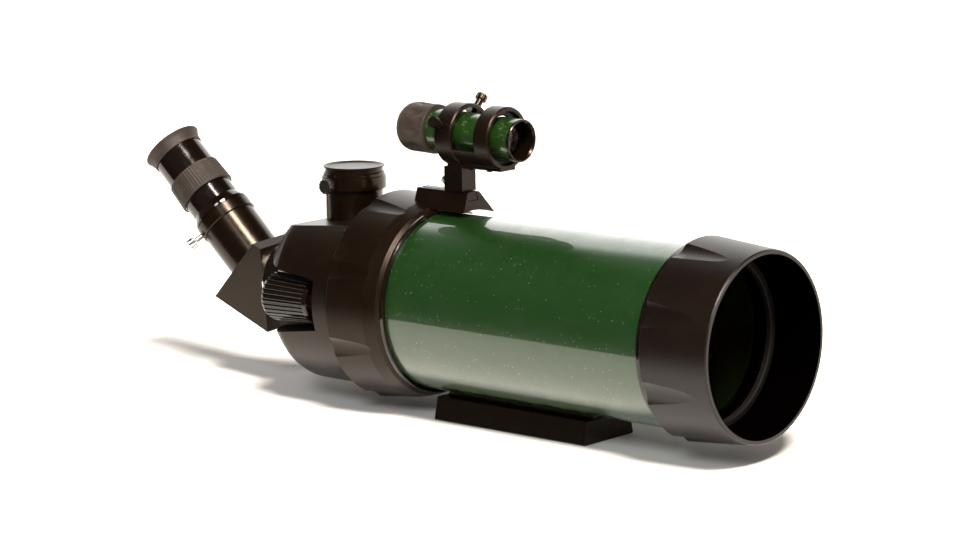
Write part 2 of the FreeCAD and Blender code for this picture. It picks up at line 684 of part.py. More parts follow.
def eyepiece():
    frame = in_eyepiece()
    node(turned("eyepiece_barrel_body", [
        (20, "barrel_radius - 1.6"), (20, "barrel_radius - 0.5"), (20.6, "barrel_radius"),
        (49, "barrel_radius"), (49, "barrel_radius - 1.6"),
    ]), "eyepiece_barrel", frame)
    node(turned("eyepiece_body_body", [
        (49, 13), (49, "collar_radius - 0.2"), (50.2, "collar_radius - 0.1"), (55, "barrel_radius + 0.1"),
        (65, "barrel_radius + 0.1"), (65, 16.7), (81.1, 16.1), (81.1, 16), (97.2, "barrel_radius"),
        (99.5, "barrel_radius"), (99.5, 13),
    ]), "eyepiece_body", frame)
    node(turned("grip_body", [
        (65.1, 16.75), (65.1, 17.6), (65.6, 17.9), (80.4, 17.2), (81, 16.9), (81, 16.2),
    ]), "eyepiece_grip", frame)
    node(turned("stop_body", [
        (51, 9), (51, 12.9), (54, 12.9), (54, 12), (51.8, 9),
    ]), "field_stop", frame)
    for name, middle, thick in (("field_lens", 62, 6), ("eye_lens", 91, 6)):
        edge = thick / 2 - 1.5
        node(turned(name + "_body", [
            (middle - edge, 0), (middle - thick / 2, 4), (middle - edge, 12.9), (middle + edge, 12.9),
            (middle + thick / 2, 4), (middle + thick / 2, 0),
        ]), name, frame)
    node(turned("eyecup_body", [
        (97.3, "barrel_radius + 0.05"), (97.3, 16.6), (100, 17), (102.6, 17.8), (104.7, 18.9),
        (105.2, 18.6), (104.5, 17.5), (102.3, 15.8), (100.8, 14.2), (99.7, 13.6),
        (99.7, "barrel_radius + 0.05"),
    ]), "eyecup", frame)


# dovetail bar -------------------------------------------------------------------------------

def dovetail_bar():
    reach = size("bar_bolt_reach")
    stations = (-reach, reach)
    blank = milled("bar_blank", [
        ("-bar_half_bottom + 0.6", 0), ("-bar_half_bottom", 0.6), ("-bar_half_top", "bar_height"),
        ("bar_half_top", "bar_height"), ("bar_half_bottom", 0.6), ("bar_half_bottom - 0.6", 0),
    ], "YZ_Plane", "bar_length")
    holes = [rod("tripod_hole", "thread_radius", 10, Vector(0, 0, -1), Z_AXIS)]
    for i, station in enumerate(stations):
        holes.append(rod(f"bar_bolt_hole_{i}", 2.1, 30, Vector(station, 0, -1), Z_AXIS))
        holes.append(rod(f"bar_counterbore_{i}", 4.2, 6, Vector(station, 0, -1), Z_AXIS))
    node(cut("bar_cut", blank, holes), "dovetail_bar", Placement())
    pad = milled("saddle_blank", [
        ("-bar_length / 2 + 2", "bar_height + 0.02"), ("-bar_length / 2 + 2", 20),
        ("bar_length / 2 - 2", 20), ("bar_length / 2 - 2", "bar_height + 0.02"),
    ], "XZ_Plane", "2 * saddle_half_width")
    bed = rod("saddle_bed", "tube_radius + 0.02", 300, Vector(-150, 0, size("axis_height")), X_AXIS)
    bores = [rod(f"saddle_bolt_hole_{i}", 2.1, 20, Vector(station, 0, 8), Z_AXIS)
             for i, station in enumerate(stations)]
    node(cut("saddle_cut", pad, [bed] + bores), "tube_saddle", Placement())
    bolts = []
    for i, station in enumerate(stations):
        head = rod(f"bar_bolt_head_{i}", 4.0, 3, Vector(station, 0, 1.8), Z_AXIS)
        socket = rod(f"bar_bolt_socket_{i}", 1.6, 1.6, Vector(station, 0, 1.7), Z_AXIS)
        shank = rod(f"bar_bolt_shank_{i}", 2.0, 9.2, Vector(station, 0, 4.8), Z_AXIS)
        bolts.append(cut(f"bar_bolt_{i}", joined(f"bar_bolt_blank_{i}", [head, shank]), [socket]))
    node(group("bar_bolts_all", bolts), "dovetail_bar_screws", Placement())


# finder -------------------------------------------------------------------------------------

def finder_shoe():
    frame = on_axis(size("finder_roll"))
    top = size("shoe_top")
    length = size("shoe_front") - size("shoe_back")
    middle = Vector((size("shoe_front") + size("shoe_back")) / 2, 0, 0)
    blank = milled("shoe_blank", [
        (-5.2, "shoe_top - 0.4"), (-4.8, "shoe_top"), (4.8, "shoe_top"), (5.2, "shoe_top - 0.4"),
        (19, 52), (-9.5, 52),
    ], "YZ_Plane", length)
    blank.Placement = Placement(middle, Rotation())
    slot = milled("shoe_slot", [
        (-2.7, "shoe_top + 1"), (2.7, "shoe_top + 1"), (2.7, "shoe_top - 1.2"), (4.2, "shoe_top - slot_depth"),
        (-4.2, "shoe_top - slot_depth"), (-2.7, "shoe_top - 1.2"),
    ], "YZ_Plane", length)
    slot.Placement = Placement(middle + X_AXIS * size("slot_stop"), Rotation())
    bed = turned("shoe_bed", [
        ("shoe_front + 5", 0), ("shoe_front + 5", "shoe_clearance"), ("seal_back - 1", "shoe_clearance"),
        ("seal_back - 1.9", "rear_lip_radius + 2.05"), ("seal_back - 10", "rear_lip_radius + 4.25"),
        ("ring_back + 1.2", "ring_radius + 0.05"), ("ring_back + 1.2", 0),
    ])
    tools = [slot, bed]
    well_floor = top - size("slot_depth") - 1.8
    for i, station in enumerate(SHOE_BOLTS):
        tools.append(rod(f"shoe_bolt_hole_{i}", 1.6, 30, Vector(station, 0, 50), Z_AXIS))
        tools.append(rod(f"shoe_bolt_well_{i}", 2.8, 30, Vector(station, 0, well_floor), Z_AXIS))
    node(cut("shoe_cut", blank, tools), "finder_shoe", frame)
    bolts = []
    for i, station in enumerate(SHOE_BOLTS):
        head = rod(f"shoe_bolt_head_{i}", 2.6, 1.6, Vector(station, 0, well_floor), Z_AXIS)
        shank = rod(f"shoe_bolt_shank_{i}", 1.5, well_floor - SHOE_BOLT_TIP, Vector(station, 0, SHOE_BOLT_TIP), Z_AXIS)
        bolts.append(joined(f"shoe_bolt_{i}", [head, shank]))
    node(group("shoe_bolts_all", bolts), "finder_shoe_screws", frame)


def clamp_line():
    """The clamp screw's tip and its direction, up and back through the stem."""
    return Vector(-219.6, 0, 62.7), Vector(-math.cos(math.radians(42)), 0, math.sin(math.radians(42)))


def finder_bracket():
    frame = on_axis(size("finder_roll"))
    stem = milled("stem_side", [
        ("stem_back", "shoe_top + 0.15"), ("stem_back", "beam_bottom - 0.02"),
        ("stem_front", "beam_bottom - 0.02"), ("stem_front", "shoe_top + 0.15"),
    ], "XZ_Plane", 12)
    tongue = milled("tongue", [
        (-2.5, "shoe_top + 0.2"), (2.5, "shoe_top + 0.2"), (2.5, "shoe_top - 1.1"), (3.9, "shoe_top - 4.9"),
        (-3.9, "shoe_top - 4.9"), (-2.5, "shoe_top - 1.1"),
    ], "YZ_Plane", 36)
    tongue.Placement = Placement(Vector(-228.3, 0, 0), Rotation())
    tip, way = clamp_line()
    holes = [
        rod("clamp_hole", 1.55, 30, tip - way * 10, way),
        rod("clamp_spot_face", 4.2, 12, tip + way * 10.6, way),
    ]
    whole = joined("stem_whole", [stem, tongue])
    node(cut("stem_cut", whole, holes), "finder_bracket_stem", frame)
    clamp = thumbscrew("clamp_screw", tip, way, 1.5, 10.9, 3.4, 5.0)
    node(clamp, "finder_clamp_screw", frame)


def finder_ring(name, station, length, edge):
    """One of the bracket's rings: its edges are rounded by a chamfer."""
    ring = turned(name, [
        (station - length / 2, "finder_ring_bore"), (station - length / 2, f"finder_ring_radius - {edge}"),
        (station - length / 2 + edge, "finder_ring_radius"), (station + length / 2 - edge, "finder_ring_radius"),
        (station + length / 2, f"finder_ring_radius - {edge}"), (station + length / 2, "finder_ring_bore"),
    ])
    ring.Placement = Placement(Vector(0, 0, size("finder_height")), Rotation())
    return ring


def screw_way(angle):
    return Vector(0, math.cos(math.radians(angle)), math.sin(math.radians(angle)))


def finder_rings():
    frame = on_axis(size("finder_roll"))
    height = size("finder_height")
    back = size("rear_ring_station")
    front = size("front_ring_station")
    back_half = size("rear_ring_length") / 2
    front_half = size("front_ring_length") / 2
    centre = Vector(back, 0, height)
    angles = {"left": size("left_screw_angle"), "right": size("right_screw_angle")}
    rings = [finder_ring("ring_back", back, 2 * back_half, 0.7),
             finder_ring("ring_front", front, 2 * front_half, 0.7)]
    beam = block("ring_beam", front - back + back_half + front_half, 13, "beam_thickness",
                 Vector(back - back_half, -6.5, size("beam_bottom")))
    web = turned("ring_web_whole", [
        (back, "finder_ring_bore"), (back, "finder_ring_radius - 0.6"),
        (front, "finder_ring_radius - 0.6"), (front, "finder_ring_bore"),
    ])
    web.Placement = Placement(Vector(0, 0, height), Rotation())
    above = block("ring_web_top", front - back + 10, 50, 40, Vector(back - 5, -25, height - size("web_drop")))
    web = cut("ring_web", web, [above])
    lugs = [rod(f"ring_lug_{side}", 3.4, 3.6, centre + screw_way(angle) * 15.9, screw_way(angle))
            for side, angle in angles.items()]
    tools = [rod(f"ring_screw_hole_{side}", 1.55, 12, centre + screw_way(angle) * 12, screw_way(angle))
             for side, angle in angles.items()]
    tools.append(rod("plunger_hole", 2.6, 5, Vector(back, 0, height - 18.4), Z_AXIS))
    for station in (back, front):
        tools.append(rod(f"ring_way_{-int(station)}", "finder_ring_bore", 20,
                         Vector(station - 10, 0, height), X_AXIS))
    bolts = []
    for i, station in enumerate(BEAM_BOLTS):
        under = Vector(station, 0, size("beam_bottom"))
        tools.append(rod(f"beam_hole_{i}", 1.05, 2.3, under - Z_AXIS * 0.1, Z_AXIS))
        head = rod(f"beam_bolt_head_{i}", 1.7, 1.7, under - Z_AXIS * 1.75, Z_AXIS)
        shank = rod(f"beam_bolt_shank_{i}", 1.0, 2.0, under - Z_AXIS * 0.05, Z_AXIS)
        bolts.append(joined(f"beam_bolt_{i}", [head, shank]))
    node(cut("rings_cut", joined("rings_whole", rings + [beam, web] + lugs), tools), "finder_rings", frame)
    node(group("beam_bolts_all", bolts), "finder_bracket_screws", frame)
    node(turned("ring_seal_body", [
        (front - 1.6, "finder_radius + 0.4"), (front - 1.6, "finder_ring_bore"),
        (front + 1.6, "finder_ring_bore"), (front + 1.6, "finder_radius + 0.4"),
    ]), "finder_support_ring", frame.multiply(Placement(Vector(0, 0, height), Rotation())))
    rise = (front - back) * math.sin(math.radians(size("finder_tilt")))
    reach = size("finder_screw_reach")
    for side, angle in angles.items():
        way = screw_way(angle)
        tip = size("finder_radius") + 0.25 + rise * way.z
        screw = thumbscrew(f"finder_screw_{side}_raw", centre, way, 1.5, reach - tip, 3.4, 3.2, tip)
        neck = rod(f"finder_screw_{side}_neck", 2.2, reach - 20.2, centre + way * 20.2, way)
        node(joined(f"finder_screw_{side}_whole", [screw, neck]), f"finder_screw_{side}", frame)
    tip = size("finder_radius") + 0.25 - rise
    node(rod("plunger_body", 2.5, 17.4 - tip, centre - Z_AXIS * 17.4, Z_AXIS), "finder_plunger", frame)


def finder():
    frame = in_finder()
    centre = Placement(Vector(0, 0, size("finder_height")), Rotation())
    frame = frame.multiply(centre)
    node(turned("finder_tube_body", [
        ("grip_front - 15", "finder_radius - 4.2"), ("grip_front - 15", "finder_radius - 3.05"),
        ("grip_front + 0.3", "finder_radius - 3.05"), ("grip_front + 0.3", "finder_radius"),
        ("finder_front - 1.6", "finder_radius"), ("finder_front - 1.6", "finder_radius - 1.2"),
        ("grip_front + 2", "finder_radius - 1.2"), ("grip_front + 2", "finder_radius - 4.2"),
    ]), "finder_tube", frame)
    node(turned("finder_cell_body", [
        ("finder_front", "finder_radius - 0.9"), ("finder_front", "finder_radius - 0.3"),
        ("finder_front - 0.4", "finder_radius"), ("finder_front - 1.55", "finder_radius"),
        ("finder_front - 1.55", "finder_radius - 1.25"), ("finder_front - 14", "finder_radius - 1.25"),
        ("finder_front - 14", "finder_radius - 2.8"), ("finder_front - 13", "finder_radius - 2.8"),
        ("finder_front - 13", "finder_radius - 1.9"), ("finder_front - 1.1", "finder_radius - 1.9"),
    ]), "finder_objective_cell", frame)
    node(turned("finder_lens_body", [
        ("finder_front - 8.2", 0), ("finder_front - 8.6", 5), ("finder_front - 10", "finder_radius - 2"),
        ("finder_front - 12", "finder_radius - 2"), ("finder_front - 12.6", 5), ("finder_front - 12.8", 0),
    ]), "finder_objective", frame)
    node(turned("reticle_body", [
        ("grip_front + 6", 0), ("grip_front + 6", "finder_radius - 1.25"),
        ("grip_front + 7.5", "finder_radius - 1.25"), ("grip_front + 7.5", 0),
    ]), "finder_reticle", frame)
    blank = turned("finder_grip_blank", [
        ("grip_front", "finder_radius - 1.1"), ("grip_front", "grip_radius - 0.5"),
        ("grip_front - 0.5", "grip_radius"), ("grip_back + 6", "grip_radius"),
        ("grip_back + 2.6", "grip_radius - 1"), ("grip_back + 0.7", "grip_radius - 2.9"),
        ("grip_back", "grip_radius - 5"), ("grip_back + 1.5", 6.5), ("grip_back + 4", 6.5),
        ("grip_back + 4", "finder_radius - 3"), ("grip_front - 1", "finder_radius - 3"),
        ("grip_front - 1", "finder_radius - 1.1"),
    ])
    dimples = []
    for i, angle in enumerate(around(8)):
        dimple = doc.addObject("Part::Ellipsoid", f"grip_dimple_{i}")
        dimple.Radius1 = 2.2
        dimple.Radius2 = 6.4
        dimple.Radius3 = 3.6
        turn = Rotation(X_AXIS, math.degrees(angle) - 90)
        dimple.Placement = Placement(polar(size("grip_radius") + 1.0, angle, size("grip_front") - 10), turn)
        dimples.append(dimple)
    node(cut("finder_grip_cut", blank, dimples), "finder_focus_grip", frame)
    node(turned("finder_eye_body", [
        ("grip_back + 4.2", 0), ("grip_back + 4.2", "finder_radius - 3.2"),
        ("grip_back + 7", "finder_radius - 3.2"), ("grip_back + 8", 3), ("grip_back + 8", 0),
    ]), "finder_eye_lens", frame)


# the whole telescope ------------------------------------------------------------------------

def check(item):
    failed = [state for state in item.State if state in ("Invalid", "Error")]
    if failed:
        raise RuntimeError(f"{item.Name} is {failed}")


front_cell()
corrector()
tube()
rear_cell()
primary_mirror()
rear_cover()
focuser()
flip_mirror()
top_port()
rear_port()
diagonal()
holder()
eyepiece()
dovetail_bar()
finder_shoe()
finder_bracket()
finder_rings()
finder()

doc.recompute()
for item in doc.Objects:
    check(item)
for item in nodes:
    if item.Shape.isNull() or not item.Shape.isValid() or item.Shape.Volume <= 0:
        raise RuntimeError(f"{item.Label} has no valid shape")
os.makedirs("parts", exist_ok=True)
for item in nodes:
    item.Shape.exportStep(f"parts/{item.Label}.step")
print(len(nodes), "sub-parts")
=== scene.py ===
"""Studio scene for the Maksutov telescope: materials, soft parts, floor, light and camera."""
import bpy
import bmesh
import json
import math
from mathutils import Matrix, Quaternion, Vector

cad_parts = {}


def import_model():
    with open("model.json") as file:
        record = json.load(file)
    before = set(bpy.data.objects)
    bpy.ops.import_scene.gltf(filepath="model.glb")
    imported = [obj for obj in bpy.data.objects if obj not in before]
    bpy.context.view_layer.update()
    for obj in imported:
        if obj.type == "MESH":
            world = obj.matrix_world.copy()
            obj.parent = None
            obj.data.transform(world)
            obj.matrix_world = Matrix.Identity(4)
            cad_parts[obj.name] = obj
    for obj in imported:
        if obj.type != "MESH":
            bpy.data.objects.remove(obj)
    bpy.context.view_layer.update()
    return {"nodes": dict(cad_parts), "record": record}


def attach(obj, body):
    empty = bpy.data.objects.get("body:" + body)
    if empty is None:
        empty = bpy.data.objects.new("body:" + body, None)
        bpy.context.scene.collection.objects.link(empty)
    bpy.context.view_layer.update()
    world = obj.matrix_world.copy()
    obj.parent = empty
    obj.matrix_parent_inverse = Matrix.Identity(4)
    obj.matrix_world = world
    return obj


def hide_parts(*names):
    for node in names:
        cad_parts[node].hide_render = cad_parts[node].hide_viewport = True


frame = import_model()
nodes = frame["nodes"]

# places in the CAD model, in metres; a station is counted from the front rim
FRONT_RIM = 0.167
AXIS_HEIGHT = 0.0665
FRONT_BORE_RADIUS = 0.0512
EYEPIECE_STATION = -0.380
FINDER_HEIGHT = 0.0996
RING_STATION = -0.1889
FINDER_GRIP_STATION = -0.2369

# places along the eyepiece's own axis, in metres
EYEPIECE_GRIP_START = 0.0651
EYECUP_SEAT = 0.0973

# angles in the CAD model, in degrees
DIAGONAL_ROLL = 5
EYEPIECE_TILT = -135
FINDER_TILT = 1.5


# node helpers -------------------------------------------------------------------------------

# a Mix node keeps sockets for every data type; these are the ones for colours
MIX_FACTOR, MIX_FIRST, MIX_SECOND, MIX_RESULT = 0, 6, 7, 2


class Network:
    """A node tree under construction. A value is either a plain one or another node's output."""

    def __init__(self, tree):
        self.tree = tree

    def feed(self, socket, value):
        if isinstance(value, bpy.types.NodeSocket):
            self.tree.links.new(value, socket)
        else:
            socket.default_value = value

    def add(self, kind, **values):
        """Add a node. A name in small letters is a setting; one with capitals is an input."""
        item = self.tree.nodes.new(kind)
        for key, value in values.items():
            if key.islower():
                setattr(item, key, value)
            else:
                self.feed(item.inputs[key.replace("_", " ")], value)
        return item

    def feed_all(self, item, *values):
        """Fill a node's inputs in their order, and give its first output."""
        for socket, value in zip(item.inputs, values):
            self.feed(socket, value)
        return item.outputs[0]

    def math(self, operation, *values):
        return self.feed_all(self.add("ShaderNodeMath", operation=operation), *values)

    def ramp(self, value, low, high, start=0.0, end=1.0, curve="LINEAR"):
        """From low at start to high at end, and level beyond them."""
        return self.add("ShaderNodeMapRange", interpolation_type=curve, Value=value,
                        From_Min=start, From_Max=end, To_Min=low, To_Max=high).outputs["Result"]


class Shader(Network):
    """A material under construction, around its Principled shader."""

    def __init__(self, name):
        self.material = bpy.data.materials.new(name)
        self.material.use_nodes = True
        super().__init__(self.material.node_tree)
        self.surface = self.tree.nodes["Principled BSDF"]
        self.place = self.add("ShaderNodeTexCoord").outputs["Object"]

    def set(self, **values):
        for key, value in values.items():
            self.feed(self.surface.inputs[key.replace("_", " ")], value)

    def noise(self, scale, detail=2.0, place=None):
        place = place or self.place
        return self.add("ShaderNodeTexNoise", Vector=place, Scale=scale, Detail=detail).outputs["Fac"]

    def cells(self, scale):
        return self.add("ShaderNodeTexVoronoi", Vector=self.place, Scale=scale)

    def blend(self, share, first, second):
        """The first colour where share is 0 and the second where it is 1."""
        item = self.add("ShaderNodeMix", data_type="RGBA")
        self.feed(item.inputs[MIX_FACTOR], share)
        self.feed(item.inputs[MIX_FIRST], first)
        self.feed(item.inputs[MIX_SECOND], second)
        return item.outputs[MIX_RESULT]

    def mottle(self, value, first, second, start=0.0, end=1.0):
        """From the first colour at start to the second at end."""
        return self.blend(self.ramp(value, 0.0, 1.0, start, end), opaque(first), opaque(second))

    def relief(self, height, strength, depth):
        return self.add("ShaderNodeBump", Height=height, Strength=strength, Distance=depth).outputs["Normal"]

    def axis_distance(self):
        """Distance from the optical axis, in metres."""
        parts = self.add("ShaderNodeSeparateXYZ", Vector=self.place)
        side = parts.outputs["Y"]
        height = self.math("SUBTRACT", parts.outputs["Z"], AXIS_HEIGHT)
        squares = self.math("MULTIPLY", side, side), self.math("MULTIPLY", height, height)
        return self.math("SQRT", self.math("ADD", *squares))


def opaque(colour):
    return (*colour, 1)


def scaled(colour, factor):
    return [part * factor for part in colour]


# materials ----------------------------------------------------------------------------------

def pebbled_plastic(name, dark, light, rough, painted_shade_in_bore=False):
    """Moulded black plastic with a fine pebble. For the front cell, shade is painted into its bore: darker
    than its outside, with almost no gloss.
    """
    m = Shader(name)
    colour = m.mottle(m.noise(45.0, detail=4.0), dark, light, start=0.3, end=0.75)
    pebble = m.relief(m.noise(1700.0), strength=0.55, depth=0.0002)
    m.set(Roughness=m.ramp(m.noise(120.0), rough - 0.02, rough + 0.02, start=0.2, end=0.8), Normal=pebble)
    if not painted_shade_in_bore:
        m.set(Base_Color=colour, Specular_IOR_Level=0.24, Specular_Tint=opaque((1.0, 0.80, 0.66)))
        return m.material
    # here the gloss is a coat, because a coat's weight may change over the surface
    # painted shade: inside the bore the base colour turns near black and the coat almost vanishes
    bore = m.math("LESS_THAN", m.axis_distance(), FRONT_BORE_RADIUS)
    m.set(Base_Color=m.blend(bore, colour, opaque((0.0003, 0.0001, 0.0001))), Specular_IOR_Level=0.0,
          Coat_Weight=m.ramp(bore, low=0.72, high=0.01), Coat_Roughness=rough, Coat_Normal=pebble,
          Coat_Tint=opaque((1.0, 0.86, 0.76)))
    return m.material


def gloss_plastic(name, colour, rough):
    m = Shader(name)
    m.set(Base_Color=m.mottle(m.noise(60.0, detail=3.0), colour, scaled(colour, 1.6)),
          Roughness=m.ramp(m.noise(180.0, detail=4.0), rough, rough + 0.08, start=0.35, end=0.75),
          Normal=m.relief(m.noise(70.0, detail=1.0), strength=0.02, depth=0.0004))
    return m.material


def enamel(name, deep, bright, flake_scale, flake_size, flake_share):
    """Clear-coated green enamel with glass flakes, painted as pale points of base colour: partly the flakes,
    partly their painted glint.
    """
    m = Shader(name)
    base = m.mottle(m.cells(2600.0).outputs["Color"], deep, bright, start=0.1, end=0.95)
    # painted glint: a share of small spots gets a pale base colour, for the sparkle of the flakes
    spots = m.cells(flake_scale)
    near = m.ramp(spots.outputs["Distance"], 1.0, 0.0, start=flake_size * 0.5, end=flake_size)
    least = 1.0 - flake_share
    chosen = m.ramp(spots.outputs["Color"], 0.0, 1.0, start=least, end=least + 0.04)
    flake_glint = m.math("MULTIPLY", near, chosen)
    m.set(Base_Color=m.blend(flake_glint, base, opaque((0.30, 0.36, 0.22))), Metallic=0.25,
          Roughness=m.ramp(m.noise(90.0, detail=3.0), 0.34, 0.44, start=0.3, end=0.7),
          Normal=m.relief(m.noise(35.0), strength=0.02, depth=0.0006),
          Coat_Weight=1.0, Coat_Roughness=0.035, Coat_IOR=1.5)
    return m.material


def turned_metal(name, colour, rough):
    """Lathe-turned metal: its grain is drawn out round the X axis."""
    m = Shader(name)
    along = m.add("ShaderNodeMapping", Vector=m.place, Scale=(1.0, 0.12, 0.12)).outputs["Vector"]
    m.set(Base_Color=m.mottle(m.noise(120.0, detail=3.0), scaled(colour, 0.85), colour),
          Roughness=m.ramp(m.noise(400.0, detail=3.0), rough - 0.05, rough + 0.08, start=0.3, end=0.7),
          Normal=m.relief(m.noise(900.0, place=along), strength=0.08, depth=0.0001),
          Metallic=1.0)
    return m.material


def anodised(name, colour, rough):
    """Satin black metal."""
    m = Shader(name)
    m.set(Base_Color=m.mottle(m.noise(150.0, detail=3.0), colour, scaled(colour, 1.3)),
          Roughness=m.ramp(m.noise(350.0, detail=3.0), rough - 0.03, rough + 0.03, start=0.3, end=0.7),
          Normal=m.relief(m.noise(2200.0), strength=0.04, depth=0.0001),
          Specular_IOR_Level=0.3, Specular_Tint=opaque((1.0, 0.8, 0.64)))
    return m.material


def flat_black(name):
    m = Shader(name)
    m.set(Base_Color=m.mottle(m.noise(300.0, detail=3.0), (0.0012, 0.0008, 0.0006), (0.0028, 0.0018, 0.0014)),
          Roughness=m.ramp(m.noise(500.0), 0.6, 0.8),
          Normal=m.relief(m.noise(1800.0), strength=0.3, depth=0.0002),
          Specular_IOR_Level=0.15)
    return m.material


def rubber(name, dark, light):
    m = Shader(name)
    m.set(Base_Color=m.mottle(m.noise(130.0, detail=5.0), dark, light, start=0.3, end=0.75),
          Roughness=m.ramp(m.noise(220.0, detail=3.0), 0.48, 0.66, start=0.3, end=0.7),
          Normal=m.relief(m.noise(1400.0, detail=3.0), strength=0.22, depth=0.0002),
          Specular_IOR_Level=0.4)
    return m.material


def coated_glass(name, tint, coat_tint):
    m = Shader(name)
    m.set(Roughness=m.ramp(m.noise(30.0), 0.0, 0.02), Base_Color=opaque(tint),
          Transmission_Weight=1.0, IOR=1.45, Specular_Tint=opaque(coat_tint))
    return m.material


def mirror_coat(name):
    m = Shader(name)
    m.set(Base_Color=m.mottle(m.noise(20.0), (0.86, 0.86, 0.88), (0.92, 0.92, 0.93)),
          Roughness=m.ramp(m.noise(90.0, detail=3.0), 0.01, 0.04), Metallic=1.0)
    return m.material


CELL_BLACK = {"dark": (0.0026, 0.0011, 0.0004), "light": (0.0054, 0.0026, 0.0012), "rough": 0.32}
RECIPES = {
    "cell_black": (pebbled_plastic, CELL_BLACK),
    "gloss_black": (gloss_plastic, {"colour": (0.003, 0.0016, 0.001), "rough": 0.08}),
    "tube_green": (enamel, {"deep": (0.0026, 0.020, 0.0012), "bright": (0.0052, 0.035, 0.0030),
                            "flake_scale": 480.0, "flake_size": 0.12, "flake_share": 0.40}),
    "finder_green": (enamel, {"deep": (0.003, 0.017, 0.0010), "bright": (0.011, 0.045, 0.003),
                              "flake_scale": 700.0, "flake_size": 0.18, "flake_share": 0.5}),
    "anodised_black": (anodised, {"colour": (0.0028, 0.0014, 0.0007), "rough": 0.22}),
    "baffle_black": (flat_black, {}),
    "bare_aluminium": (turned_metal, {"colour": (0.7, 0.7, 0.71), "rough": 0.35}),
    "corrector_glass": (coated_glass, {"tint": (0.92, 0.80, 0.82), "coat_tint": (0.8, 0.15, 0.12)}),
    "lens_glass": (coated_glass, {"tint": (0.55, 0.50, 0.50), "coat_tint": (0.55, 0.45, 0.5)}),
    "mirror_coat": (mirror_coat, {}),
    "screw_steel": (turned_metal, {"colour": (0.55, 0.54, 0.52), "rough": 0.3}),
    "black_steel": (anodised, {"colour": (0.004, 0.0022, 0.0014), "rough": 0.32}),
    "chrome": (turned_metal, {"colour": (0.82, 0.80, 0.77), "rough": 0.12}),
    "brass": (turned_metal, {"colour": (0.72, 0.52, 0.22), "rough": 0.25}),
    "rubber_black": (rubber, {"dark": (0.018, 0.0115, 0.0085), "light": (0.030, 0.020, 0.0155)}),
}
materials = {slot: make(slot, **values) for slot, (make, values) in RECIPES.items()}
# the front cell's own material, with painted shade in its bore
front_cell_with_painted_bore_shade = pebbled_plastic("front_cell_with_painted_bore_shade", **CELL_BLACK, painted_shade_in_bore=True)


def wear(item, material):
    item.data.materials.clear()
    item.data.materials.append(material)


for part in frame["record"]["subparts"]:
    wear(nodes[part["node"]], materials[part["material_slot"]])
wear(nodes["front_cell"], front_cell_with_painted_bore_shade)
wear(nodes["finder_objective_cell"], materials["anodised_black"])


# frames of the tilted groups, as in the CAD model -------------------------------------------

def shift(x, y, z):
    return Matrix.Translation((x, y, z))


def turn(degrees, axis):
    return Matrix.Rotation(math.radians(degrees), 4, axis)


optical_axis = shift(FRONT_RIM, 0, AXIS_HEIGHT)
eyepiece_frame = (optical_axis @ turn(DIAGONAL_ROLL, "X") @ shift(EYEPIECE_STATION, 0, 0)
                  @ turn(EYEPIECE_TILT, "Y"))
bracket_frame = optical_axis @ shift(0, 0, FINDER_HEIGHT)
finder_frame = (bracket_frame @ shift(RING_STATION, 0, 0) @ turn(FINDER_TILT, "Y")
                @ shift(-RING_STATION, 0, 0))


# soft parts ---------------------------------------------------------------------------------

def smooth_loop(corners, per_span, kept=()):
    """A closed Catmull-Rom curve through (station, radius) corners; kept spans stay straight."""
    count = len(corners)
    points = []
    for i in range(count):
        before, here, there, after = (corners[(i + k) % count] for k in (-1, 0, 1, 2))
        for step in range(per_span):
            t = step / per_span
            if i in kept:
                points.append(tuple(a + (b - a) * t for a, b in zip(here, there)))
                continue
            points.append(tuple(
                0.5 * (2 * b + (c - a) * t + (2 * a - 5 * b + 4 * c - d) * t * t
                       + (3 * b - 3 * c + d - a) * t ** 3)
                for a, b, c, d in zip(before, here, there, after)))
    return points


def level(s, r, angle):
    """A surface with nothing sunk into it."""
    return 0.0


def lathe(name, loop, place, columns, sunk=level):
    """Turn a closed loop of (station, radius) in mm about X; sunk gives how far a point sinks in."""
    mesh = bpy.data.meshes.new(name)
    shape = bmesh.new()
    rings = []
    for j in range(columns):
        angle = 2 * math.pi * j / columns
        ring = []
        for s, r in loop:
            left = r - sunk(s, r, angle)
            point = Vector((s / 1000, left * math.cos(angle) / 1000, left * math.sin(angle) / 1000))
            ring.append(shape.verts.new(place @ point))
        rings.append(ring)
    size = len(loop)
    for j in range(columns):
        near, far = rings[j], rings[(j + 1) % columns]
        for i in range(size):
            shape.faces.new((near[i], near[(i + 1) % size], far[(i + 1) % size], far[i]))
    bmesh.ops.recalc_face_normals(shape, faces=shape.faces)
    for face in shape.faces:
        face.smooth = True
    shape.to_mesh(mesh)
    shape.free()
    item = bpy.data.objects.new(name, mesh)
    bpy.context.scene.collection.objects.link(item)
    wear(item, materials["rubber_black"])
    return item


def eyecup():
    """A short flared cup: up its outside, over the lip, and down its funnel."""
    corners = [(0.0, 15.95), (0.0, 16.5), (0.9, 16.75), (1.7, 16.65), (3.0, 17.0), (5.3, 17.75), (7.2, 18.75),
               (7.8, 18.75), (7.6, 18.2), (6.6, 17.2), (5.0, 15.8), (3.5, 14.4), (2.5, 13.7), (2.5, 15.95)]
    seat, inner_wall = 0, 13
    item = lathe("eyecup_rubber", smooth_loop(corners, per_span=4, kept=(seat, inner_wall)),
                 eyepiece_frame @ shift(EYECUP_SEAT, 0, 0), columns=96)
    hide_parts("eyecup")
    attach(item, "eyepiece")


